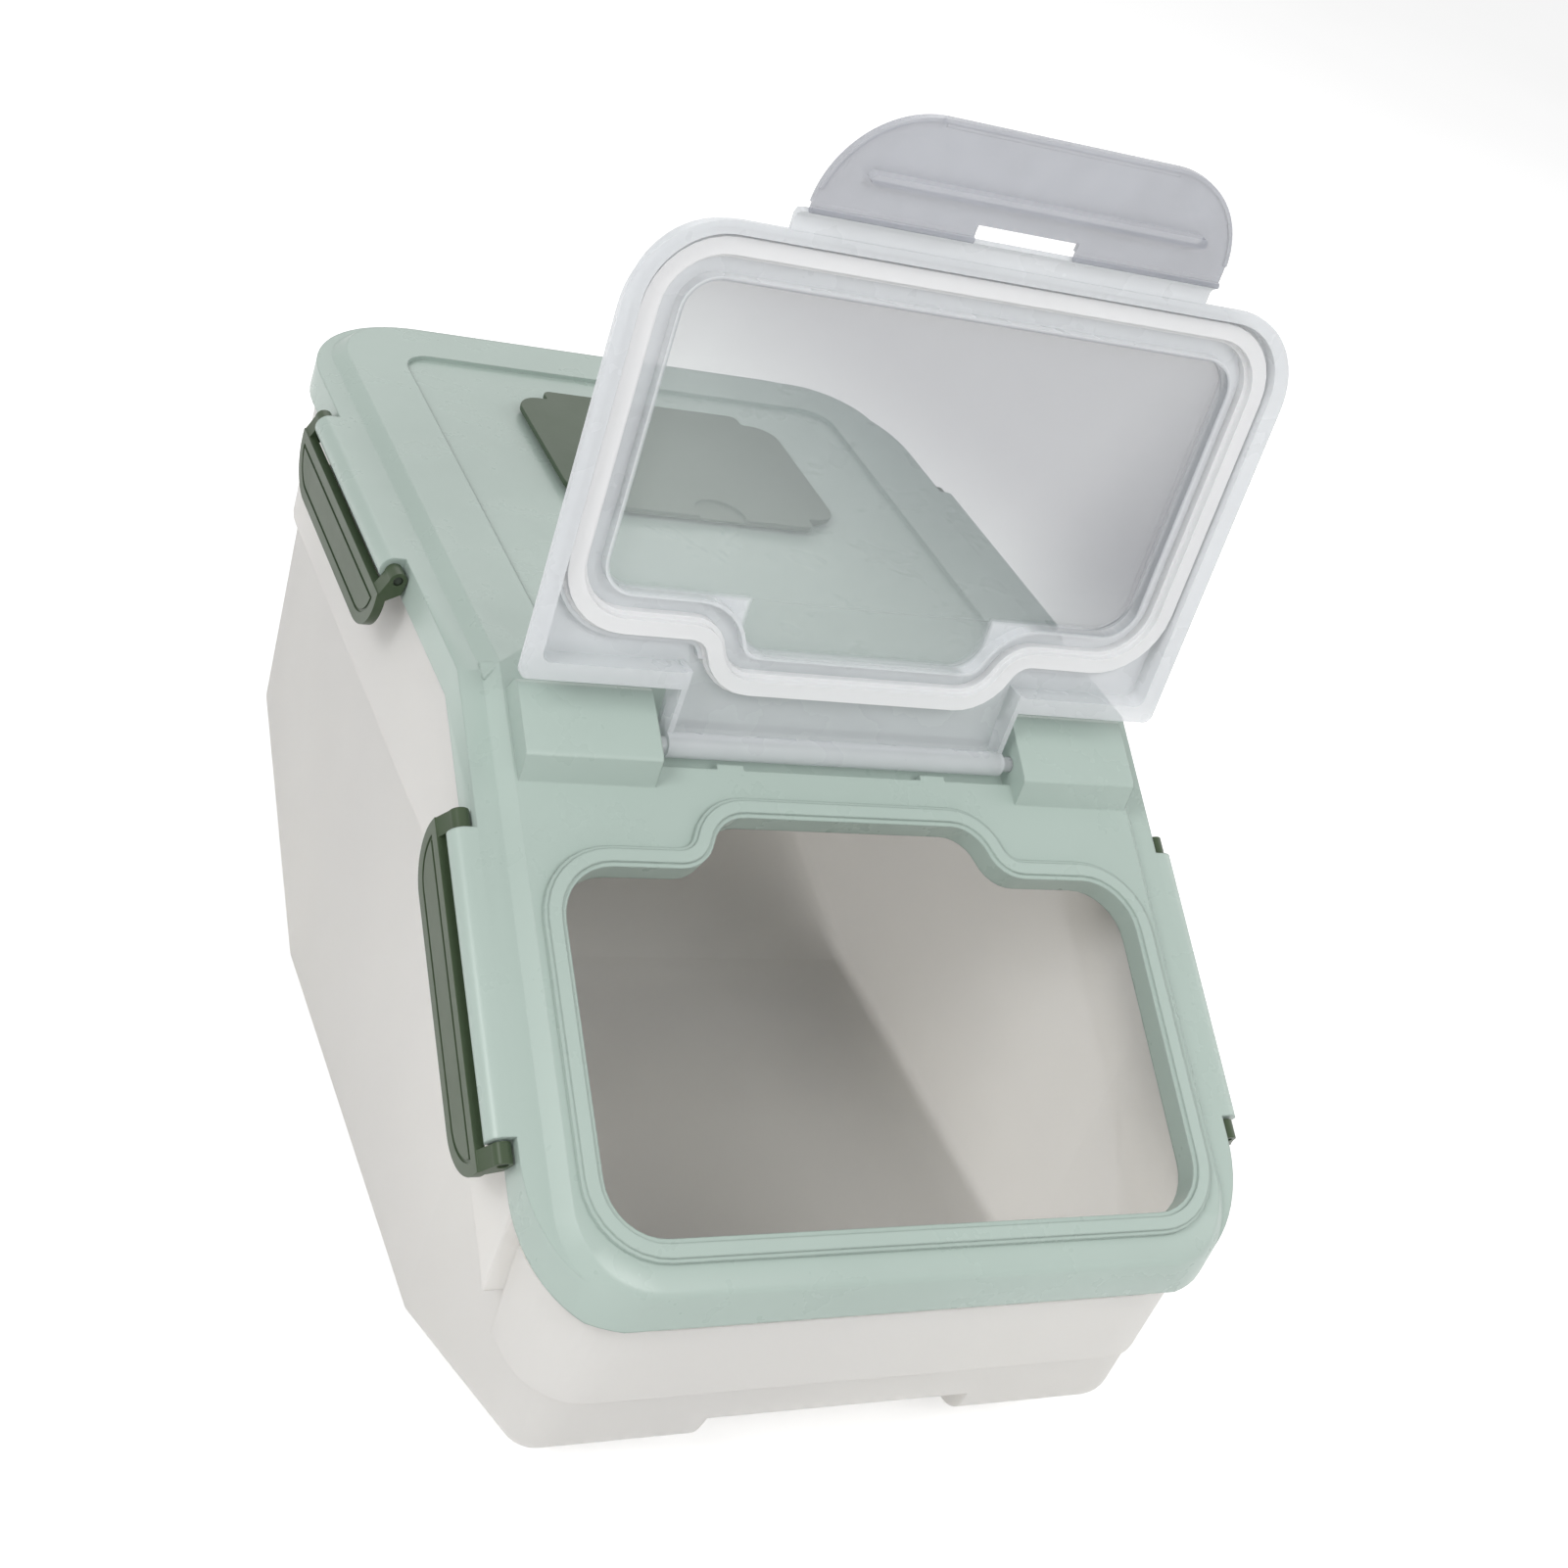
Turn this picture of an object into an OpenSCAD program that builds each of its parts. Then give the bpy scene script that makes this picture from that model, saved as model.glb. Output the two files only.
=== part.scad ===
// Rice bin with a sloped front deck, a flip lid with a latch flap, and four side clips.
// Frame: X to the right seen from the front, Y to the back, Z up, floor at Z = 0, millimetres.
// The lid is drawn open and the clips closed; the front deck is worked out in its own frame,
// where X runs across, -Y runs down the slope from the bend and Z stands off the deck.

/* [Whole bin] */
// Width over the skirt of the cover
skirt_w = 231; // [205:1:260]
// Length over the skirt, front to back
skirt_l = 382; // [350:1:430]
// Corner radius of the skirt at the back
rear_r = 46; // [38:1:48]
// Height of the flat deck above the floor
deck_h = 176; // [160:1:205]
// Fall of the front deck in degrees
slope_a = 28.2; // [25:0.1:31]
// Bend of the deck, from the middle of the length
bend_y = -31; // [-40:1:-22]

/* [Cover] */
// Thickness of the cover plate
cover_t = 3.2; // [2.6:0.1:4]
// Thickness of the skirt and the shelf
skirt_t = 2.2; // [1.6:0.1:3]
// Drop of the side shelf below the deck
shelf_d = 4; // [3:0.5:5]
// Drop of the lower edge of the skirt below the deck
skirt_d = 15; // [13:0.5:18]
// Height of the skirt at the front
front_h = 14.2; // [12:0.1:16]
// Width of the border between the skirt and the top edge of the deck
border = 11.3; // [10:0.1:13]
// Depth of the sunk panel on the flat deck
panel_d = 1.5; // [1:0.1:1.8]

/* [Fill opening] */
// Border between the side of the skirt and the opening
open_side = 19.9; // [18:0.1:24]
// Border between the front edge and the opening
open_front = 14.5; // [13:0.5:20]
// Distance of the two side parts of the rear edge from the bend
open_wing = 62.5; // [60:0.5:70]
// How far the middle of the rear edge reaches back
open_bump = 16.5; // [14:0.5:18]
// Corner radius of the opening
open_r = 16.5; // [12:0.5:22]
// Height of the raised bead round the opening
bead_h = 2.3; // [1.5:0.1:3]
// Width of the raised bead
bead_w = 6.4; // [5:0.1:7]

/* [Lid] */
// Opening angle at which the lid rests on its stop
open_a = 122.8; // [112:0.1:123]
// Distance of the hinge line from the bend, down the slope
hinge_v = 23.7; // [23:0.1:24.5]
// Height of the top of the closed lid above the deck
lid_h = 9.6; // [8.5:0.1:11]
// Thickness of the lid
lid_t = 2; // [1.5:0.1:2.5]
// Height of the hinge line above the deck
hinge_n = 1.35; // [1:0.05:1.8]
// Radius of the hinge barrel
barrel_r = 3.8; // [3.4:0.1:4]
// Half width of the hinge tongue
tongue_hw = 57.5; // [50:0.5:58]
// Radius of the moulded hinge pegs
peg_r = 2.4; // [2:0.1:2.6]
// Running clearance of all pegs in their bores
fit = 0.05; // [0.03:0.01:0.08]
// Clearance left between faces that pass each other
gap = 0.4; // [0.3:0.05:0.6]

/* [Latch flap] */
// Half width of the flap at its root
flap_hw = 65.4; // [55:0.1:72]
// Length of the flap
flap_l = 30.5; // [28:0.1:36]
// Thickness of the flap
flap_t = 1.6; // [1.2:0.1:2]
// Height of the snap rib
rib_h = 3.2; // [2.6:0.1:3.4]
// Forward tilt of the flap against the lid as drawn
flap_a = 8; // [0:1:15]

/* [Clips] */
// Length of a clip
clip_l = 100.5; // [80:0.5:104]
// Middle of the front clips, down the slope from the bend
clip_front_v = 93.2; // [90:0.1:100]
// Middle of the rear clips, behind the bend
clip_rear_y = 102.7; // [90:0.1:110]
// Thickness of a clip
clip_t = 3; // [2.8:0.1:4]
// Drop of the lower edge of a clip below the deck
clip_d = 31; // [29:0.5:33]
// Radius of the hinge pegs of the clips
clip_peg_r = 1.5; // [1.3:0.1:1.7]

/* [Desiccant box] */
// Half width of its cover
dry_hw = 50; // [44:0.5:60]
// Length of its cover, front to back
dry_l = 66; // [56:1:76]
// Middle of its cover, behind the bend
dry_y = 134.5; // [128:0.5:140]
// Depth of the box below the panel
dry_d = 30; // [20:1:40]

/* [Body] */
// Wall thickness of the body
wall = 2.5; // [2:0.1:3.5]
// Inset of the body wall from the skirt
wall_in = 5.1; // [4.6:0.1:6]
// Height of the collar under the flat deck
collar_d = 59; // [50:1:70]
// Depth of the finger notch, from the front of the skirt
notch_y = 44; // [38:0.5:50]
// Drop of the roof of the finger notch below the deck
notch_d = 151.5; // [148:0.5:154]

/* [Hidden] */
$fn = 48;
mint = [0.71, 0.78, 0.74];
sage = [0.41, 0.49, 0.40];
white = [0.86, 0.85, 0.84];
frost = [0.80, 0.82, 0.85];
cream = [0.88, 0.87, 0.84];
big = 300;
hw = skirt_w / 2;
back = skirt_l / 2;
slope_l = (back + bend_y) / cos(slope_a);
front_z = deck_h - slope_l * sin(slope_a);
skirt_end = front_z - front_h;
inner = skirt_t + 0.2;
rim_n = -(shelf_d + skirt_t) - 2.2;
// opening outline
o_hw = hw - open_side;
o_f = slope_l - open_front;
s_turn = 2 * atan(open_bump / 23);
s_r = 11.5 / sin(s_turn);
bump_u = 35;
bump_v = open_wing - open_bump;
gasket_n = bead_h + gap;
// lid outline
lid_hw = hw - 8;
lid_v0 = hinge_v + 18.5;
lid_v1 = slope_l - 4.4;
block_in = tongue_hw + 4;
flange_top = gap + 1.9;
lid_in = 4.1;
pocket_v = hinge_v - 8.8;
block_out = hw - border - 0.8;
plate_n = lid_h - lid_t;
// the flap turns about a line level with the face of the front skirt
flap_drop = 3.7;
flap_z = front_z - flap_drop;
flap_y = back + bend_y + 0.9;
flap_v = flap_y * cos(slope_a) + (deck_h - flap_z) * sin(slope_a);
flap_n = flap_y * sin(slope_a) - (deck_h - flap_z) * cos(slope_a);
flap_off = 0.3;
rib_s = front_h - flap_drop + 0.25;
front_in = 3;
collar_f = collar_d - 13;
dry_wall = 1.6;
dry_top = -panel_d + dry_wall;
// clips
lip_r = 4.2;
pivot_x = hw + 3.1;
pivot_n = -shelf_d - lip_r;
ear_r = pivot_x - hw - 0.3;
bar_x = hw + 5.5;
bar_n = pivot_n - lip_r - gap;
ear_w = 6;
flange_hl = clip_l / 2 - ear_w - 0.5;
hook_n = -skirt_d - 3.9 - gap;

// ---- shared shapes ----

// plane outline with its own corner radii at the front and the back
module outline(w, yf, yb, rf, rb) {
  translate([-w, yf + rf]) square([2 * w, yb - yf - rf - rb]);
  translate([-w + rf, yf]) square([2 * (w - rf), rf + 1]);
  translate([-w + rb, yb - rb - 1]) square([2 * (w - rb), rb + 1]);
  for (s = [-1, 1]) {
    translate([s * (w - rf), yf + rf]) circle(r = rf);
    translate([s * (w - rb), yb - rb]) circle(r = rb);
  }
}

module plan(w, yf, yb, rf, rb, z0 = -10, z1 = 260) {
  translate([0, 0, z0]) linear_extrude(height = z1 - z0) outline(w, yf, yb, rf, rb);
}

// all that lies below the line of the deck, moved off it by n
module under(n) {
  rotate([90, 0, 90])
    linear_extrude(height = 2 * big, center = true)
      polygon([[big, deck_h + n],
               [bend_y - n * tan(slope_a / 2), deck_h + n],
               [bend_y - 320 * cos(slope_a) - n * sin(slope_a),
                deck_h - 320 * sin(slope_a) + n * cos(slope_a)],
               [-big, -60],
               [big, -60]]);
}

module on_slope() {
  translate([0, bend_y, deck_h]) rotate([slope_a, 0, 0]) children();
}

module on_flat() {
  translate([0, bend_y, deck_h]) children();
}

// rim of the fill opening, moved outward by d, half of it and then the whole
function arc(cx, cy, r, a0, a1, n) =
  [for (i = [0 : n]) [cx + r * cos(a0 + (a1 - a0) * i / n), cy + r * sin(a0 + (a1 - a0) * i / n)]];
function half_rim(d) = concat(
  arc(bump_u, -bump_v - s_r, s_r + d, 90, 90 - s_turn, 6),
  arc(bump_u + 23, -open_wing + s_r, s_r - d, 270 - s_turn, 270, 6),
  arc(o_hw - open_r, -open_wing - open_r, open_r + d, 90, 0, 8),
  arc(o_hw - open_r, -o_f + open_r, open_r + d, 0, -90, 8));
function flip(p) = [for (i = [len(p) - 1 : -1 : 0]) [-p[i][0], p[i][1]]];
function rim(d) = concat(half_rim(d), flip(half_rim(d)));

module rim_ring(d0, d1, n0, n1) {
  translate([0, 0, n0])
    linear_extrude(height = n1 - n0)
      difference() {
        polygon(rim(d1));
        polygon(rim(d0));
      }
}

// profile drawn down the slope (v) and off it (n), carried across from x0 to x1
module across(x0, x1, pts) {
  translate([x0, 0, 0])
    rotate([90, 0, 90])
      linear_extrude(height = x1 - x0)
        polygon([for (p = pts) [-p[0], p[1]]]);
}

// ---- body ----

module loft(d) {
  wb = hw - wall_in - d;
  hull() {
    plan(wb, bend_y - 81, back - 9 - d, 5, 30 - d, deck_h + 5, deck_h + 6);
    plan(wb - 4.3, -back + 5.9 + d, bend_y, 30 - d, 5, deck_h + 5, deck_h + 6);
    plan(wb - 4.3, -back + 3.6 + d, bend_y, 30 - d, 5, skirt_end - 1, skirt_end);
    for (s = [-1, 1]) {
      for (y = [bend_y + 77, bend_y - 81])
        translate([s * (hw - wall_in - 4 - d), y, 4 + (d > 0 ? 2.4 : 0)]) sphere(r = 4);
      translate([s * (hw - 24.5), -back + 23.4, deck_h - 154.2]) sphere(r = 11.3 - d);
      // rear corner, wide in plan and tight along its edge
      translate([s * (hw - 32.5), back - 45.4, deck_h - 146 + d]) {
        cylinder(r = 14, h = 1);
        translate([0, 0, 2.4]) cylinder(r = 19.7 - d, h = 1);
        translate([0, 0, 8]) cylinder(r = 22 - d, h = 1);
      }
    }
  }
}

module collar() {
  intersection() {
    hull() {
      plan(hw - 2.5, bend_y - 125, back - 6.4, 0.5, rear_r - 7, deck_h, deck_h + 1);
      plan(hw - 2.5, bend_y - 125, back - 20.7, 0.5, rear_r - 7, 40, 41);
    }
    difference() {
      under(rim_n);
      collar_floor();
    }
  }
}

// the collar ends level at the back and follows the slope at the front
module collar_floor() {
  rotate([90, 0, 90])
    linear_extrude(height = 2 * big, center = true)
      polygon([[big, deck_h - collar_d],
               [bend_y + (collar_f - collar_d * cos(slope_a)) / sin(slope_a), deck_h - collar_d],
               [bend_y - big * cos(slope_a) + collar_f * sin(slope_a),
                deck_h - big * sin(slope_a) - collar_f * cos(slope_a)],
               [-big, -big / 5],
               [big, -big / 5]]);
}

module bin_body() {
  color(white)
  difference() {
    union() {
      intersection() {
        loft(0);
        under(rim_n);
      }
      collar();
      // faint step across the front
      intersection() {
        loft(-1.2);
        under(rim_n);
        plan(big, -big, bend_y - 125, 1, 1, deck_h - 136, skirt_end - 2.2);
      }
      // rim that stands under the skirt
      difference() {
        intersection() {
          plan(hw - inner, -back + front_in + 0.2, back - inner, 33, rear_r - inner);
          under(rim_n);
        }
        under(-skirt_d - 2);
        plan(big, -big, big, 1, 1, -20, skirt_end - 2.2);
      }
      // ledges under the hooks of the clips
      for (s = [-1, 1]) {
        on_slope() ledge(s, -clip_front_v);
        on_flat() ledge(s, clip_rear_y);
      }
      // low foot ring
      translate([0, bend_y - 2, 0])
        linear_extrude(height = 4)
          difference() {
            outline(hw - 18, -74, 70, 10, 10);
            outline(hw - 22, -70, 66, 8, 8);
          }
    }
    difference() {
      intersection() {
        loft(wall);
        plan(hw - wall_in - wall, -back + 6 + wall, back - 9 - wall, 26, 26, -10, 260);
      }
      // step that backs the finger notch
      translate([-50, -back, -1]) cube([100, notch_y + wall, deck_h - notch_d + wall + 1]);
    }
    // finger notch under the nose
    translate([0, -back + notch_y, 0])
      rotate([90, 0, 0])
        linear_extrude(height = notch_y + 5)
          polygon([[-47, -5], [47, -5], [43.6, deck_h - notch_d], [-43.6, deck_h - notch_d]]);
    translate([0, bend_y - 2, -0.1])
      linear_extrude(height = 1)
        outline(hw - 22, -70, 66, 8, 8);
  }
}

module ledge(s, y) {
  translate([s > 0 ? hw - 4 : -hw - 2.8, y - 34, -skirt_d - 3.9]) cube([6.8, 68, 2.3]);
}

// ---- cover ----

module deck_raise() {
  tw = hw - border;
  hull() {
    on_flat() plan(tw, 0, back - bend_y - 9.5, 0.4, 27, -0.6, 0);
    on_flat() plan(tw + 4.3, -2, back - bend_y - 5.2, 0.4, 31, -shelf_d - 1, -shelf_d - 0.2);
  }
  hull() {
    on_slope() plan(tw, -slope_l + 1.6, 0, 23, 0.4, -0.4, 0);
    on_slope() plan(tw + 0.9, -slope_l - 0.2, 0, 24, 0.4, -1.4, -0.9);
    on_slope() plan(tw + 4.3, -slope_l - 4, 2, 28, 0.4, -shelf_d - 1, -shelf_d - 0.2);
  }
}

module block(s) {
  x0 = s > 0 ? block_in : -block_out;
  x1 = s > 0 ? block_out : -block_in;
  across(x0, x1, [[8, -3], [8.6, 6.6], [10.2, 8], [31, 8], [32.4, 7.4], [37, 0], [37, -3]]);
}

module flange(y) {
  for (s = [-1, 1])
    translate([0, y, 0]) {
      intersection() {
        translate([s * pivot_x, -flange_hl, pivot_n])
          rotate([-90, 0, 0])
            cylinder(r = lip_r, h = 2 * flange_hl);
        translate([-big, -100, pivot_n - 2.2]) cube([2 * big, 200, 20]);
      }
      translate([s > 0 ? hw - 1 : -pivot_x, -flange_hl, -shelf_d - skirt_t - 1])
        cube([pivot_x - hw + 1, 2 * flange_hl, skirt_t + 1]);
      translate([s * pivot_x, -flange_hl - ear_w, pivot_n])
        rotate([-90, 0, 0])
          cylinder(r = clip_peg_r, h = 2 * (flange_hl + ear_w));
    }
}

module cover() {
  color(mint)
  difference() {
    union() {
      difference() {
        intersection() {
          plan(hw, -back, back, 35, rear_r);
          union() {
            difference() {
              under(-shelf_d);
              under(-skirt_d);
              plan(big, -big, big, 1, 1, -20, skirt_end);
            }
            deck_raise();
          }
        }
        intersection() {
          plan(hw - skirt_t, -back + front_in, back - skirt_t, 33, rear_r - skirt_t);
          under(-shelf_d - skirt_t);
        }
        intersection() {
          plan(hw - border - 2.4, -back + 6, back - 12, 22, 25);
          under(-cover_t);
        }
        // the skirt leans in a little at the front
        rotate([90, 0, 90])
          linear_extrude(height = 2 * big, center = true)
            polygon([[-back - 9, front_z - 1.5], [-back, front_z - 1.5],
                     [-back + 1.06, front_z - front_h], [-back + 1.06, 0], [-back - 9, 0]]);
      }
      on_slope() {
        rim_ring(0, bead_w, -cover_t / 2, bead_h - 0.8);
        rim_ring(1.4, bead_w - 1.1, -cover_t / 2, bead_h);
        rim_ring(0, 2, -cover_t - 3, -cover_t / 2);
        for (s = [-1, 1]) block(s);
        // pocket behind the opening for the hinge barrel
        translate([-block_in - 2, -32, -5.7]) cube([2 * block_in + 4, 32 - pocket_v + 2, 5.4]);
        flange(-clip_front_v);
      }
      on_flat() flange(clip_rear_y);
      // collar of the desiccant box under the panel
      on_flat()
        translate([0, dry_y, 0])
          plan(dry_hw - 3.5, -dry_l / 2 + 2.5, dry_l / 2 - 2.5, 8, 8, -panel_d - 8, -panel_d);
    }
    on_slope() {
      // fill opening
      translate([0, 0, -20]) linear_extrude(height = 40) polygon(rim(0));
      // hinge pocket, with two rests left at its front edge
      difference() {
        translate([-block_in, -30, -3.7]) cube([2 * block_in, 30 - pocket_v, 20]);
        for (u = [-36.2, 33.1]) translate([u - 4.4, -31, -4]) cube([8.8, 2.6, 4.2]);
      }
      // bores of the hinge pegs
      translate([-block_in - 7, -hinge_v, hinge_n])
        rotate([0, 90, 0])
          cylinder(r = peg_r + fit, h = 2 * (block_in + 7));
    }
    on_flat() {
      // sunk panel
      plan(hw - 31.5, 14, back - bend_y - 29.5, 11, 11, -panel_d, 5);
      // seat of the desiccant box
      translate([0, dry_y, 0])
        plan(dry_hw - 5.5, -dry_l / 2 + 4.5, dry_l / 2 - 4.5, 6, 6, -20, 5);
    }
  }
}

module cover_seal() {
  color(cream)
  difference() {
    intersection() {
      plan(hw - inner - 0.3, -back + front_in + 0.5, back - inner - 0.3, 32.5, rear_r - inner - 0.3);
      under(-shelf_d - skirt_t);
    }
    under(rim_n);
    plan(hw - inner - 3.2, -back + front_in + 3.4, back - inner - 3.2, 29.6, rear_r - inner - 3.2);
  }
}

// ---- lid, drawn closed in the frame of the slope and then turned open ----

module opened() {
  on_slope()
    translate([0, -hinge_v, hinge_n])
      rotate([-open_a, 0, 0])
        translate([0, hinge_v, -hinge_n])
          children();
}

module lid_plan(d, n0, n1) {
  plan(lid_hw - d, -lid_v1 + max(0, d - 1.9), -lid_v0 - d, 27 - d, 3, n0, n1);
}

module lid() {
  color(frost)
  opened() {
    difference() {
      union() {
        // thin edge all round
        lid_plan(0, gap + 0.2, flange_top);
        // raised field
        lid_plan(lid_in, gap + 0.2, lid_h - 0.9);
        lid_plan(lid_in + 0.9, gap + 0.2, lid_h);
      }
      difference() {
        lid_plan(lid_in + 1.4, -1, plate_n);
        rim_ring(6.4, 7.6, plate_n - 2.6, lid_h);
        rim_ring(-6.9, -5.8, plate_n - 3.6, lid_h);
      }
      // the rear wall opens into the tongue
      translate([-tongue_hw + 1.8, -lid_v0 - 8, -1]) cube([2 * tongue_hw - 3.6, 9, plate_n + 1]);
      // sunk field on the outside
      plan(lid_hw - 16, -lid_v1 + 16, -lid_v0 - 26, 16, 16, lid_h - 0.6, lid_h + 1);
    }
    tongue();
    front_lip();
  }
}

// tongue that curves down to the hinge barrel, with its moulded pegs
module tongue() {
  t = lid_h - hinge_n;
  v1 = lid_v0 - hinge_v + 6;
  translate([0, -hinge_v, hinge_n]) {
    across(-tongue_hw, tongue_hw,
           [[v1, t], [7, t], [2.6, t - 0.65], [-1, t - 2.25], [-3, t - 4.85],
            [-barrel_r + 0.01, 0], [0, 0], [0.2, t - 3.95], [2.8, t - 2.55], [7, t - lid_t],
            [v1, t - lid_t]]);
    for (s = [-1, 1])
      across(s > 0 ? tongue_hw - 1.8 : -tongue_hw, s > 0 ? tongue_hw : -tongue_hw + 1.8,
             [[v1, t - 1], [0, t - 3], [0, 0], [6, 0.4 - hinge_n + 0.8], [v1, gap + 0.2 - hinge_n]]);
    translate([-tongue_hw, 0, 0]) rotate([0, 90, 0]) cylinder(r = barrel_r, h = 2 * tongue_hw);
    translate([-block_in - 6, 0, 0]) rotate([0, 90, 0]) cylinder(r = peg_r, h = 2 * (block_in + 6));
  }
}

// lip that turns down over the front edge of the deck and carries the flap
module front_lip() {
  translate([0, -flap_v, flap_n])
    across(-flap_hw - 1.5, flap_hw + 1.5,
           [[-9, 3.8], [-3.3, 3.8], [-2.4, 3.3], [-1.05, 1.15], [0.1, 1.45],
            [-0.9, 4.2], [-2.7, 5.4], [-9, 5.4]]);
}

module lid_gasket() {
  color(cream)
  opened() {
    rim_ring(-0.8, 6.4, gasket_n + 2.2, plate_n);
    rim_ring(0.6, 5.4, gasket_n, gasket_n + 2.3);
  }
}

module latch_flap() {
  color(frost)
  opened()
    translate([0, -flap_v, flap_n])
      rotate([flap_a, 0, 0])
        difference() {
          union() {
            difference() {
              translate([0, 0, flap_off]) linear_extrude(height = flap_t) flap_plan(0);
              translate([-80, -1.6, -3]) cube([160, 6, 8]);
            }
            // thin web and bead of the hinge
            translate([-flap_hw, -2, flap_off - 0.1]) cube([2 * flap_hw, 2, 0.7]);
            translate([-flap_hw, 0, 0]) rotate([0, 90, 0]) cylinder(r = 0.9, h = 2 * flap_hw);
            // low lip round the edge
            translate([0, 0, flap_off - 0.6])
              linear_extrude(height = 1)
                difference() {
                  flap_plan(0);
                  flap_plan(1.1);
                  translate([-80, -6]) square([160, 10]);
                }
            // snap rib
            translate([-52, -rib_s - 2.8, flap_off - rib_h]) cube([104, 2.8, rib_h + 0.5]);
            for (s = [-1, 1])
              translate([s * 52, -rib_s - 1.4, flap_off - rib_h])
                cylinder(r = 1.4, h = rib_h + 0.5);
            // rolled free edge
            translate([-37, -flap_l + 1.6, flap_off + flap_t - 0.4])
              rotate([0, 90, 0])
                cylinder(r = 1.5, h = 74);
          }
          translate([-16.2, -4.2, -3]) cube([32.4, 7, 8]);
        }
}

module flap_plan(d) {
  r = flap_l - 1.5;
  difference() {
    union() {
      translate([-flap_hw + r, -flap_l + d]) square([2 * (flap_hw - r), flap_l]);
      translate([-flap_hw + d, -flap_l + r]) square([2 * (flap_hw - d), flap_l - r]);
      for (s = [-1, 1]) translate([s * (flap_hw - r), -flap_l + r]) circle(r = r - d);
    }
    translate([-90, 0]) square([180, 60]);
  }
}

// ---- clips, drawn for the right side ----

module clip_face(d) {
  intersection() {
    outline(clip_l / 2 - d, -clip_d + d, bar_n + 10, 16 - d, 2);
    translate([-clip_l, -clip_d]) square([2 * clip_l, clip_d + bar_n - d]);
  }
}

module clip() {
  difference() {
    union() {
      translate([bar_x, 0, 0])
        rotate([90, 0, 90])
          linear_extrude(height = clip_t) clip_face(0);
      // hook
      translate([hw + 0.5, -clip_l / 2 + 15, hook_n - 2.8])
        cube([bar_x - hw, clip_l - 30, 2.8]);
      // arms that reach down from the pegs to the bar
      for (y = [-clip_l / 2, clip_l / 2 - ear_w])
        translate([0, y + ear_w, 0])
          rotate([90, 0, 0])
            linear_extrude(height = ear_w) {
              translate([pivot_x, pivot_n]) circle(r = ear_r);
              polygon([[pivot_x - ear_r, pivot_n], [pivot_x + ear_r, pivot_n],
                       [bar_x + clip_t, bar_n - 1], [bar_x + clip_t, bar_n - 2.4],
                       [bar_x, bar_n - 2.4], [pivot_x - ear_r + 0.8, pivot_n - 4.4]]);
            }
    }
    translate([pivot_x, -clip_l, pivot_n])
      rotate([-90, 0, 0])
        cylinder(r = clip_peg_r + fit, h = 2 * clip_l);
    // groove round the face
    translate([bar_x + clip_t - 0.5, 0, 0])
      rotate([90, 0, 90])
        linear_extrude(height = 2)
          difference() {
            clip_face(3.6);
            clip_face(4.6);
          }
  }
}

module clip_front_right() {
  color(sage) on_slope() translate([0, -clip_front_v, 0]) clip();
}

module clip_front_left() {
  color(sage) on_slope() translate([0, -clip_front_v, 0]) mirror([1, 0, 0]) clip();
}

module clip_rear_right() {
  color(sage) on_flat() translate([0, clip_rear_y, 0]) clip();
}

module clip_rear_left() {
  color(sage) on_flat() translate([0, clip_rear_y, 0]) mirror([1, 0, 0]) clip();
}

// ---- desiccant box ----

module desiccant_box() {
  color(sage)
  on_flat()
    translate([0, dry_y, 0])
      difference() {
        union() {
          plan(dry_hw - 2, -dry_l / 2 + 1, dry_l / 2 - 1, 9, 9, -panel_d, dry_top);
          plan(dry_hw - 5.8, -dry_l / 2 + 4.8, dry_l / 2 - 4.8, 6, 6, -panel_d - dry_d, -panel_d + 1);
        }
        plan(dry_hw - 7.4, -dry_l / 2 + 6.4, dry_l / 2 - 6.4, 5, 5, -panel_d - dry_d + dry_wall, 5);
        for (x = [-30 : 10 : 30])
          translate([x - 2, -dry_l / 2 + 16, -panel_d - dry_d - 1]) cube([4, dry_l - 32, 4]);
      }
}

module desiccant_cover() {
  z0 = dry_top;
  color(sage)
  on_flat()
    translate([0, dry_y, 0])
      difference() {
        union() {
          plan(dry_hw, -dry_l / 2, dry_l / 2, 9, 9, z0, z0 + 2);
          plan(38, -dry_l / 2 - 6, dry_l / 2 + 6, 3, 3, z0, z0 + 2);
          plan(dry_hw - 8, -dry_l / 2 + 7, dry_l / 2 - 7, 5, 5, z0 - 3, z0 + 1);
        }
        plan(dry_hw - 9.2, -dry_l / 2 + 8.2, dry_l / 2 - 8.2, 4, 4, z0 - 5, z0);
        // half round thumb mark
        translate([3, -dry_l / 2 - 3, z0 + 1]) cylinder(r = 9, h = 3);
      }
}

bin_body();
cover();
cover_seal();
lid();
lid_gasket();
latch_flap();
clip_front_left();
clip_front_right();
clip_rear_left();
clip_rear_right();
desiccant_box();
desiccant_cover();
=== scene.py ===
from math import radians

import bpy
from mathutils import Euler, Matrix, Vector

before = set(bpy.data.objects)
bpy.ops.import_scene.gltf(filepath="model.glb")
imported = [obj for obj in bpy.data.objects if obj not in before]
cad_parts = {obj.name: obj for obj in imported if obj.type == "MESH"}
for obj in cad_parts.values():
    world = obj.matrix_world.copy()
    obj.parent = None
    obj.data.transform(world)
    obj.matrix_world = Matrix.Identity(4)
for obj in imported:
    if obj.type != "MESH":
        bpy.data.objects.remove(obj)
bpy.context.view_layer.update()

# ---- camera, at the photograph's angle ----

CAMERA_PLACE = (-0.348005, -0.549790, 0.507045)
CAMERA_TURN = (57.620836, -18.634095, -22.448859)
CAMERA_LENS = 53.5696
SENSOR_WIDTH = 36
NEAREST = 0.02

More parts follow.
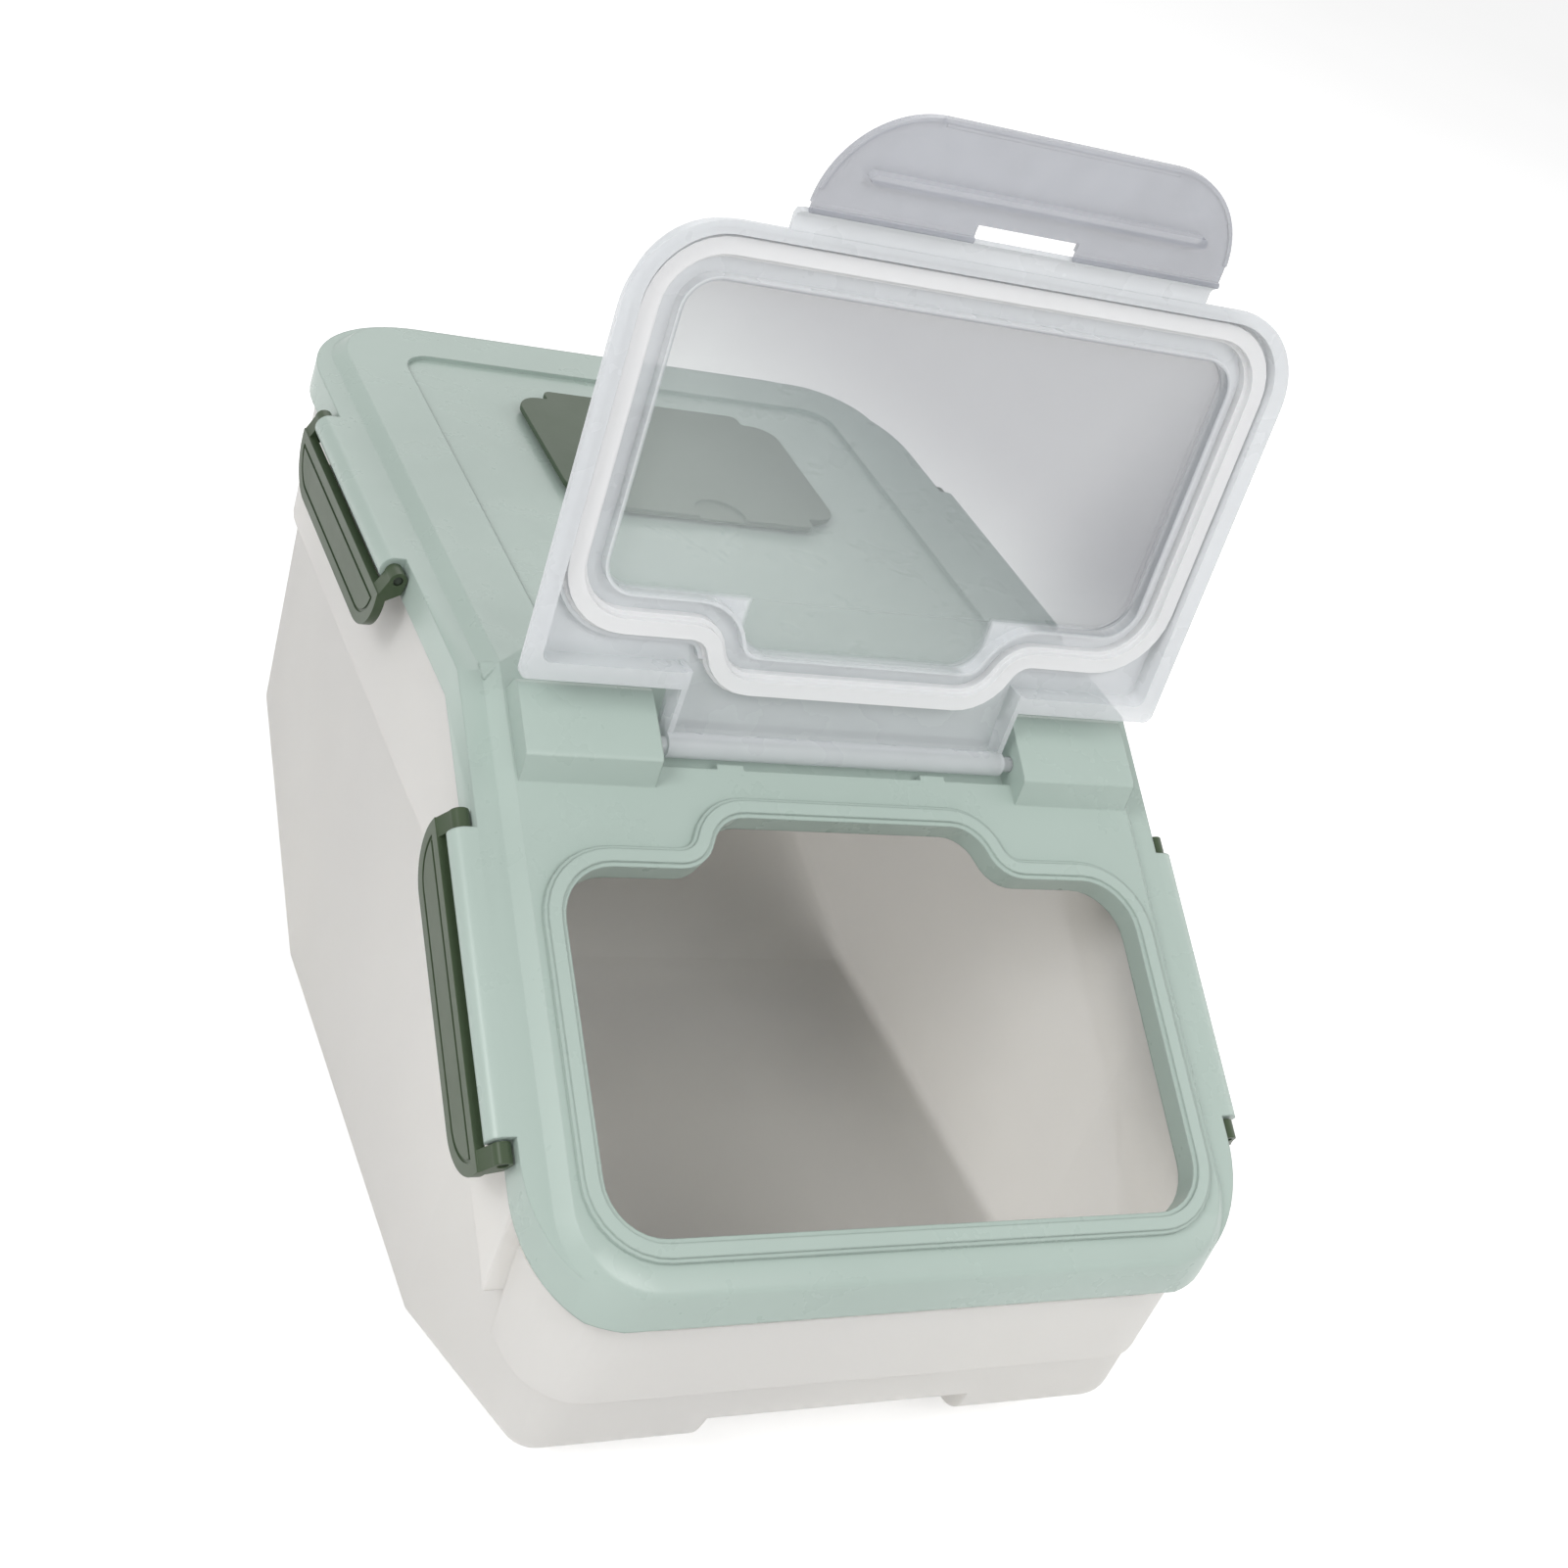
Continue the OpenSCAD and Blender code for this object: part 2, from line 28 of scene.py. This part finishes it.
cam_data = bpy.data.cameras.new("camera")
cam_data.lens = CAMERA_LENS
cam_data.sensor_width = SENSOR_WIDTH
cam_data.clip_start = NEAREST
cam = bpy.data.objects.new("camera", cam_data)
cam.location = CAMERA_PLACE
cam.rotation_euler = Euler([radians(a) for a in CAMERA_TURN], "XYZ")
bpy.context.scene.collection.objects.link(cam)
bpy.context.scene.camera = cam


# ---- shading network helpers ----

def linear(r, g, b):
    """A colour given as the 0 to 255 numbers of a picture, made linear."""
    def one(c):
        c /= 255
        return c / 12.92 if c <= 0.04045 else ((c + 0.055) / 1.055) ** 2.4
    return (one(r), one(g), one(b), 1)


class Net:
    """The node tree of a material or a world, with short calls to add and join nodes."""

    def __init__(self, owner, out="ShaderNodeOutputMaterial"):
        owner.use_nodes = True
        self.owner = owner
        self.tree = owner.node_tree
        self.tree.nodes.clear()
        self.out = self.node(out)

    def node(self, kind, **values):
        n = self.tree.nodes.new(kind)
        for k, v in values.items():
            setattr(n, k, v)
        return n

    def fill(self, n, **inputs):
        """Sets the inputs of a node to constants; _ stands for a space in a name."""
        for k, v in inputs.items():
            n.inputs[k.replace("_", " ")].default_value = v

    def join(self, a, b):
        self.tree.links.new(a, b)

    def coords(self):
        return self.node("ShaderNodeTexCoord").outputs["Object"]

    def axes(self, vector):
        part = self.node("ShaderNodeSeparateXYZ")
        self.join(vector, part.inputs[0])
        return [part.outputs[k] for k in "XYZ"]

    def noise(self, scale, detail=2.0, rough=0.5):
        n = self.node("ShaderNodeTexNoise")
        self.fill(n, Scale=scale, Detail=detail, Roughness=rough)
        self.join(self.coords(), n.inputs["Vector"])
        return n.outputs["Fac"]

    def ramp(self, fac, stops):
        n = self.node("ShaderNodeValToRGB")
        for e, (p, c) in zip(n.color_ramp.elements, stops):
            e.position, e.color = p, c
        self.join(fac, n.inputs["Fac"])
        return n.outputs["Color"]

    def span(self, value, a, b, c, d, smooth=False):
        """Maps the range a to b onto c to d, and holds the ends."""
        n = self.node("ShaderNodeMapRange")
        if smooth:
            n.interpolation_type = "SMOOTHSTEP"
        self.fill(n, From_Min=a, From_Max=b, To_Min=c, To_Max=d)
        self.join(value, n.inputs["Value"])
        return n.outputs["Result"]

    def math(self, op, a, b=None):
        n = self.node("ShaderNodeMath", operation=op)
        for i, v in enumerate((a, b)):
            if v is None:
                continue
            if isinstance(v, (int, float)):
                n.inputs[i].default_value = v
            else:
                self.join(v, n.inputs[i])
        return n.outputs[0]

    def weigh(self, a, wa, b, wb, op="ADD"):
        """a times wa, and then plus or minus b times wb."""
        return self.math(op, self.math("MULTIPLY", a, wa), self.math("MULTIPLY", b, wb))

    def mix(self, fac, a, b):
        n = self.node("ShaderNodeMix", data_type="RGBA")
        self.join(fac, n.inputs["Factor"])
        for key, v in (("A", a), ("B", b)):
            socket = [s for s in n.inputs if s.name == key and s.type == "RGBA"][0]
            if isinstance(v, tuple):
                socket.default_value = v
            else:
                self.join(v, socket)
        return [s for s in n.outputs if s.type == "RGBA"][0]

    def bump(self, height, strength, distance, normal=None):
        n = self.node("ShaderNodeBump")
        self.fill(n, Strength=strength, Distance=distance)
        self.join(height, n.inputs["Height"])
        if normal:
            self.join(normal, n.inputs["Normal"])
        return n.outputs["Normal"]

    def shader(self, color, rough, normal, **plain):
        n = self.node("ShaderNodeBsdfPrincipled")
        self.join(color, n.inputs["Base Color"])
        self.join(rough, n.inputs["Roughness"])
        self.join(normal, n.inputs["Normal"])
        self.fill(n, **plain)
        self.join(n.outputs[0], self.out.inputs["Surface"])
        return n

    def blend(self, share, a, b):
        """Shader a with a share of shader b, as the surface."""
        n = self.node("ShaderNodeMixShader")
        if isinstance(share, float):
            n.inputs[0].default_value = share
        else:
            self.join(share, n.inputs[0])
        self.join(a.outputs[0], n.inputs[1])
        self.join(b.outputs[0], n.inputs[2])
        self.join(n.outputs[0], self.out.inputs["Surface"])

    def rays(self, *kinds):
        """1 for a ray of one of these kinds, and 0 for any other."""
        path = self.node("ShaderNodeLightPath")
        seen = path.outputs[f"Is {kinds[0]} Ray"]
        for kind in kinds[1:]:
            seen = self.math("MAXIMUM", seen, path.outputs[f"Is {kind} Ray"])
        return seen

    def rounded(self, x, y, cx, cy, hx, hy, r):
        """Distance to a rounded rectangle, negative inside it."""
        qx = self.math("ADD", self.math("ABSOLUTE", self.math("SUBTRACT", x, cx)), r - hx)
        qy = self.math("ADD", self.math("ABSOLUTE", self.math("SUBTRACT", y, cy)), r - hy)
        mx, my = self.math("MAXIMUM", qx, 0.0), self.math("MAXIMUM", qy, 0.0)
        far = self.math("SQRT", self.weigh(mx, mx, my, my))
        near = self.math("MINIMUM", self.math("MAXIMUM", qx, qy), 0.0)
        return self.math("SUBTRACT", self.math("ADD", far, near), r)


def material_net(name):
    return Net(bpy.data.materials.new(name))


def plastic(name, a, b, rough, grain=0.035, ior=1.49, round_edge=0.0, through=0.0,
            painted_spot=None, **plain):
    """Moulded plastic: slow drift of colour, uneven gloss, and a fine moulded grain.

    through is the share of the light that passes the wall, and painted_spot gives a mask
    and the colour painted where it is 1, used for painted shade.
    """
    net = material_net(name)
    color = net.ramp(net.noise(7.0, 3.0, 0.55), [(0.36, a), (0.64, b)])
    if painted_spot:
        mask, painted_spot_color = painted_spot
        color = net.mix(mask(net), color, painted_spot_color)
    gloss = net.span(net.noise(46.0, 4.0, 0.6), 0.3, 0.7, rough - 0.045, rough + 0.045)
    edge = None
    if round_edge:
        bevel = net.node("ShaderNodeBevel", samples=4)
        net.fill(bevel, Radius=round_edge)
        edge = bevel.outputs[0]
    fine = net.bump(net.noise(1500.0), grain, 0.0006, edge)
    normal = net.bump(net.noise(16.0, 1.0, 0.4), 0.05, 0.002, fine)
    surface = net.shader(color, gloss, normal, IOR=ior, **plain)
    if through:
        passed = net.node("ShaderNodeBsdfTranslucent")
        net.join(color, passed.inputs["Color"])
        net.blend(through, surface, passed)
    return net.owner


# ---- the see-through lid and its flap ----

CLEAR_IOR = 1.57
# the lid's hinge at rest, and the lid's turn from lying flat
HINGE = (0.0, -0.052525, 0.165990)
LID_TURN = radians(94.6)
# middle, half size and corner radius of the window, and of its step round the tongue
WINDOW = (0.0, -0.0911, 0.0889, 0.0456, 0.0105)
WINDOW_STEP = (0.0, -0.0500, 0.0410, 0.0212, 0.010)
# the tongue grows clearer between these places below the hinge
TONGUE_START, TONGUE_END = -0.030, -0.014


def lid_axes(net):
    """Across the lid, and down from its hinge, in metres."""
    move = net.node("ShaderNodeVectorMath", operation="SUBTRACT")
    move.inputs[1].default_value = HINGE
    net.join(net.coords(), move.inputs[0])
    turn = net.node("ShaderNodeVectorRotate", rotation_type="X_AXIS")
    net.fill(turn, Angle=LID_TURN)
    net.join(move.outputs[0], turn.inputs["Vector"])
    return net.axes(turn.outputs[0])[:2]


def clear_normal(net, flow, strength):
    """The faint waves and grain of a clear moulding."""
    return net.bump(flow, strength, 0.002, net.bump(net.noise(1700.0), 0.02, 0.0004))


def lid_plastic():
    """Frosted frame, clear tongue, and a hazy window darkened towards a corner by painted
    shade.
    """
    net = material_net("lid_clear_plastic")
    x, y = lid_axes(net)
    edge = net.math("MINIMUM", net.rounded(x, y, *WINDOW), net.rounded(x, y, *WINDOW_STEP))
    frame_part = net.span(edge, -0.0010, 0.0010, 0.0, 1.0, True)
    window_part = net.math("SUBTRACT", 1.0, frame_part)

    cloud = net.noise(9.0, 3.0, 0.6)
    haze = net.ramp(cloud, [(0.35, linear(188, 197, 195)), (0.65, linear(194, 202, 201))])
    # painted shade: the hazy window turns to this dark tone towards one corner, and is less
    # clear there
    painted_shade_tone = net.ramp(cloud, [(0.35, linear(96, 100, 109)), (0.65, linear(104, 108, 117))])
    frost = net.ramp(cloud, [(0.35, linear(219, 222, 225)), (0.65, linear(224, 227, 230))])
    slant = net.weigh(x, 0.45, y, 0.90, "SUBTRACT")
    painted_shade_share = net.span(slant, 0.025, 0.105, 0.0, 1.0, True)
    color = net.mix(frame_part, net.mix(painted_shade_share, haze, painted_shade_tone), frost)
    gloss = net.math("ADD", net.span(frame_part, 0.0, 1.0, 0.10, 0.28),
                     net.span(net.noise(60.0, 3.0), 0.3, 0.7, -0.03, 0.03))
    normal = clear_normal(net, net.noise(22.0), 0.06)
    surface = net.shader(color, gloss, normal, IOR=CLEAR_IOR)

    low = net.weigh(x, 0.90, y, 0.60)
    window = net.math("ADD", net.span(painted_shade_share, 0.0, 1.0, 0.30, 0.40),
                      net.span(low, -0.020, 0.045, 0.0, 0.14, True))
    tongue = net.span(y, TONGUE_START, TONGUE_END, 0.70, 0.42, True)
    net.join(net.weigh(frame_part, tongue, window_part, window), surface.inputs["Alpha"])
    return net.owner


def flap_plastic():
    net = material_net("flap_clear_plastic")
    cloud = net.noise(14.0, 3.0, 0.6)
    color = net.ramp(cloud, [(0.35, linear(146, 149, 158)), (0.65, linear(172, 175, 183))])
    gloss = net.span(net.noise(60.0, 3.0), 0.3, 0.7, 0.14, 0.22)
    normal = clear_normal(net, net.noise(30.0), 0.12)
    surface = net.shader(color, gloss, normal, IOR=CLEAR_IOR)
    net.join(net.span(cloud, 0.3, 0.7, 0.54, 0.62), surface.inputs["Alpha"])
    return net.owner


# ---- the solid-coloured pieces ----

# the clips' pegs: distance from the middle plane, radius, and half the length of a pair
PEG_X = 0.1186
PEG_R = 0.0016
PEG_END = 0.0480
# for the front and the rear pairs: y and z of the middle, and y and z of the direction
PEG_LINES = ((-0.109263, 0.124732, 0.881303, 0.472551), (0.0717, 0.1678, 1.0, 0.0))


def peg_ends_painted_shade(net):
    """The end faces of the cover's four pairs of pegs, inside the clips' eyes, as the mask of a
    painted shade.
    """
    x, y, z = net.axes(net.coords())
    side = net.math("ABSOLUTE", net.math("SUBTRACT", net.math("ABSOLUTE", x), PEG_X))
    ends = []
    for middle_y, middle_z, c, s in PEG_LINES:
        dy, dz = net.math("SUBTRACT", y, middle_y), net.math("SUBTRACT", z, middle_z)
        along = net.math("ABSOLUTE", net.weigh(dy, c, dz, s))
        out = net.math("ABSOLUTE", net.weigh(dz, c, dy, s, "SUBTRACT"))
        near = net.span(net.math("MAXIMUM", side, out), PEG_R, PEG_R + 0.0003, 1.0, 0.0)
        tip = net.span(along, PEG_END, PEG_END + 0.0006, 0.0, 1.0)
        ends.append(net.math("MULTIPLY", near, tip))
    return net.math("MAXIMUM", *ends)


white = plastic("bin_white_plastic", linear(238, 236, 233), linear(242, 240, 236), 0.44,
                round_edge=0.0012, through=0.30, Subsurface_Weight=0.6,
                Subsurface_Radius=(1.0, 0.97, 0.93), Subsurface_Scale=0.02)
# the mint's spot is painted shade: the pegs' end faces inside the clips' eyes are dark sage,
# the pins' own sage darkened as the shadow in the eyes' holes
mint = plastic("cover_mint_plastic", linear(173, 189, 181), linear(179, 195, 187), 0.29,
               round_edge=0.0009, through=0.12, painted_spot=(peg_ends_painted_shade, linear(46, 56, 44)))
sage = plastic("clip_sage_plastic", linear(60, 74, 53), linear(68, 82, 61), 0.34,
               grain=0.02, Specular_IOR_Level=0.25)
deep = plastic("desiccant_sage_plastic", linear(66, 81, 62), linear(74, 89, 69), 0.36,
               grain=0.03, Specular_IOR_Level=0.25)
soft = plastic("gasket_silicone", linear(238, 239, 240), linear(243, 243, 244), 0.40,
               grain=0.03, ior=1.43, Alpha=0.8)
cream = plastic("cover_seal_silicone", linear(218, 217, 213), linear(226, 225, 221), 0.50,
                grain=0.04, ior=1.43)

# each node's material, and the width of its rounded edges in metres
LOOKS = {
    "bin_body": (white, 0.0),
    "cover": (mint, 0.0),
    "cover_seal": (cream, 0.0),
    "lid": (lid_plastic(), 0.0004),
    "lid_gasket": (soft, 0.0004),
    "latch_flap": (flap_plastic(), 0.0003),
    "clip_front_left": (sage, 0.0005),
    "clip_front_right": (sage, 0.0005),
    "clip_rear_left": (sage, 0.0005),
    "clip_rear_right": (sage, 0.0005),
    "desiccant_box": (deep, 0.0004),
    "desiccant_cover": (deep, 0.0004),
}


# ---- soft edges ----

SHARP = radians(32)
FLAT = radians(0.25)


def smooth_group():
    """Joins the loose faces and shades them smooth, apart from sharp edges."""
    g = bpy.data.node_groups.new("smooth_faces", "GeometryNodeTree")
    g.interface.new_socket("Geometry", in_out="INPUT", socket_type="NodeSocketGeometry")
    g.interface.new_socket("Geometry", in_out="OUTPUT", socket_type="NodeSocketGeometry")
    new = g.nodes.new
    source, out = new("NodeGroupInput"), new("NodeGroupOutput")
    drop = new("GeometryNodeRemoveAttribute")
    drop.inputs["Name"].default_value = "custom_normal"
    weld = new("GeometryNodeMergeByDistance")
    weld.inputs["Distance"].default_value = 1e-5
    faces = new("GeometryNodeSetShadeSmooth")
    faces.domain = "FACE"
    edges = new("GeometryNodeSetShadeSmooth")
    edges.domain = "EDGE"
    angle = new("GeometryNodeInputMeshEdgeAngle")
    under = new("FunctionNodeCompare")
    under.operation = "LESS_THAN"
    under.inputs["B"].default_value = SHARP
    for a, b in ((source.outputs[0], drop.inputs["Geometry"]),
                 (drop.outputs[0], weld.inputs["Geometry"]),
                 (weld.outputs[0], faces.inputs["Geometry"]),
                 (faces.outputs[0], edges.inputs["Geometry"]),
                 (angle.outputs["Unsigned Angle"], under.inputs["A"]),
                 (under.outputs[0], edges.inputs["Shade Smooth"]),
                 (edges.outputs[0], out.inputs[0])):
        g.links.new(a, b)
    return g


SMOOTH = smooth_group()


def soften(obj, width):
    """Rounds the edges of a CAD node by modifiers, and leaves its mesh as it is."""
    obj.modifiers.new("smooth", "NODES").node_group = SMOOTH
    if width <= 0:
        return
    flat = obj.modifiers.new("flat", "DECIMATE")
    flat.decimate_type = "DISSOLVE"
    flat.angle_limit = FLAT
    edges = obj.modifiers.new("edges", "BEVEL")
    edges.width = width
    edges.segments = 2
    edges.limit_method = "ANGLE"
    edges.angle_limit = SHARP
    edges.use_clamp_overlap = True
    edges.harden_normals = True
    edges.miter_outer = "MITER_ARC"


for name, (material, width) in LOOKS.items():
    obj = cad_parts[name]
    obj.data.materials.clear()
    obj.data.materials.append(material)
    soften(obj, width)


# ---- floor, world and lamps ----

FLOOR_HALF = 8.0
FLOOR_DROP = 0.0002
FLOOR_GLOW = 0.42
WORLD_LIT = 0.54
WORLD_SHOWN = 1.0
WHITE = (1.0, 1.0, 1.0, 1)

corners = [(FLOOR_HALF * i, FLOOR_HALF * j, 0) for i, j in ((-1, -1), (1, -1), (1, 1), (-1, 1))]
floor_mesh = bpy.data.meshes.new("floor")
floor_mesh.from_pydata(corners, [], [(0, 1, 2, 3)])
floor = bpy.data.objects.new("floor", floor_mesh)
floor.location.z = -FLOOR_DROP
bpy.context.scene.collection.objects.link(floor)

net = material_net("floor_white")
matte = net.node("ShaderNodeBsdfDiffuse")
net.join(net.ramp(net.noise(3.0), [(0.3, (0.86, 0.86, 0.86, 1)), (0.7, (0.88, 0.88, 0.88, 1))]),
         matte.inputs["Color"])
glow = net.node("ShaderNodeEmission")
net.join(net.math("MULTIPLY", net.rays("Camera", "Glossy", "Transmission"), FLOOR_GLOW),
         glow.inputs["Strength"])
both = net.node("ShaderNodeAddShader")
net.join(matte.outputs[0], both.inputs[0])
net.join(glow.outputs[0], both.inputs[1])
net.join(both.outputs[0], net.out.inputs["Surface"])
floor_mesh.materials.append(net.owner)

world = bpy.data.worlds.new("studio")
net = Net(world, "ShaderNodeOutputWorld")
lit, shown = net.node("ShaderNodeBackground"), net.node("ShaderNodeBackground")
net.fill(lit, Color=WHITE, Strength=WORLD_LIT)
net.fill(shown, Color=WHITE, Strength=WORLD_SHOWN)
net.blend(net.rays("Camera", "Glossy", "Transmission"), lit, shown)
bpy.context.scene.world = world

MIDDLE = Vector((0.0, 0.0, 0.12))


def lamp(name, place, size, power):
    """A soft rectangular lamp, aimed at the middle of the object."""
    data = bpy.data.lights.new(name, "AREA")
    data.shape = "RECTANGLE"
    data.size, data.size_y = size
    data.energy = power
    o = bpy.data.objects.new(name, data)
    o.location = place
    o.rotation_euler = (MIDDLE - Vector(place)).to_track_quat("-Z", "Y").to_euler()
    bpy.context.scene.collection.objects.link(o)


lamp("key", (-1.5, -0.5, 1.4), (0.8, 0.7), 16.0)
lamp("top", (0.2, -1.5, 1.5), (1.0, 0.8), 12.5)
lamp("fill", (1.5, -0.2, 0.9), (1.2, 0.9), 4.5)
lamp("rim", (0.3, 1.5, 1.2), (1.2, 0.6), 3.0)

bpy.context.scene.view_settings.view_transform = "Standard"
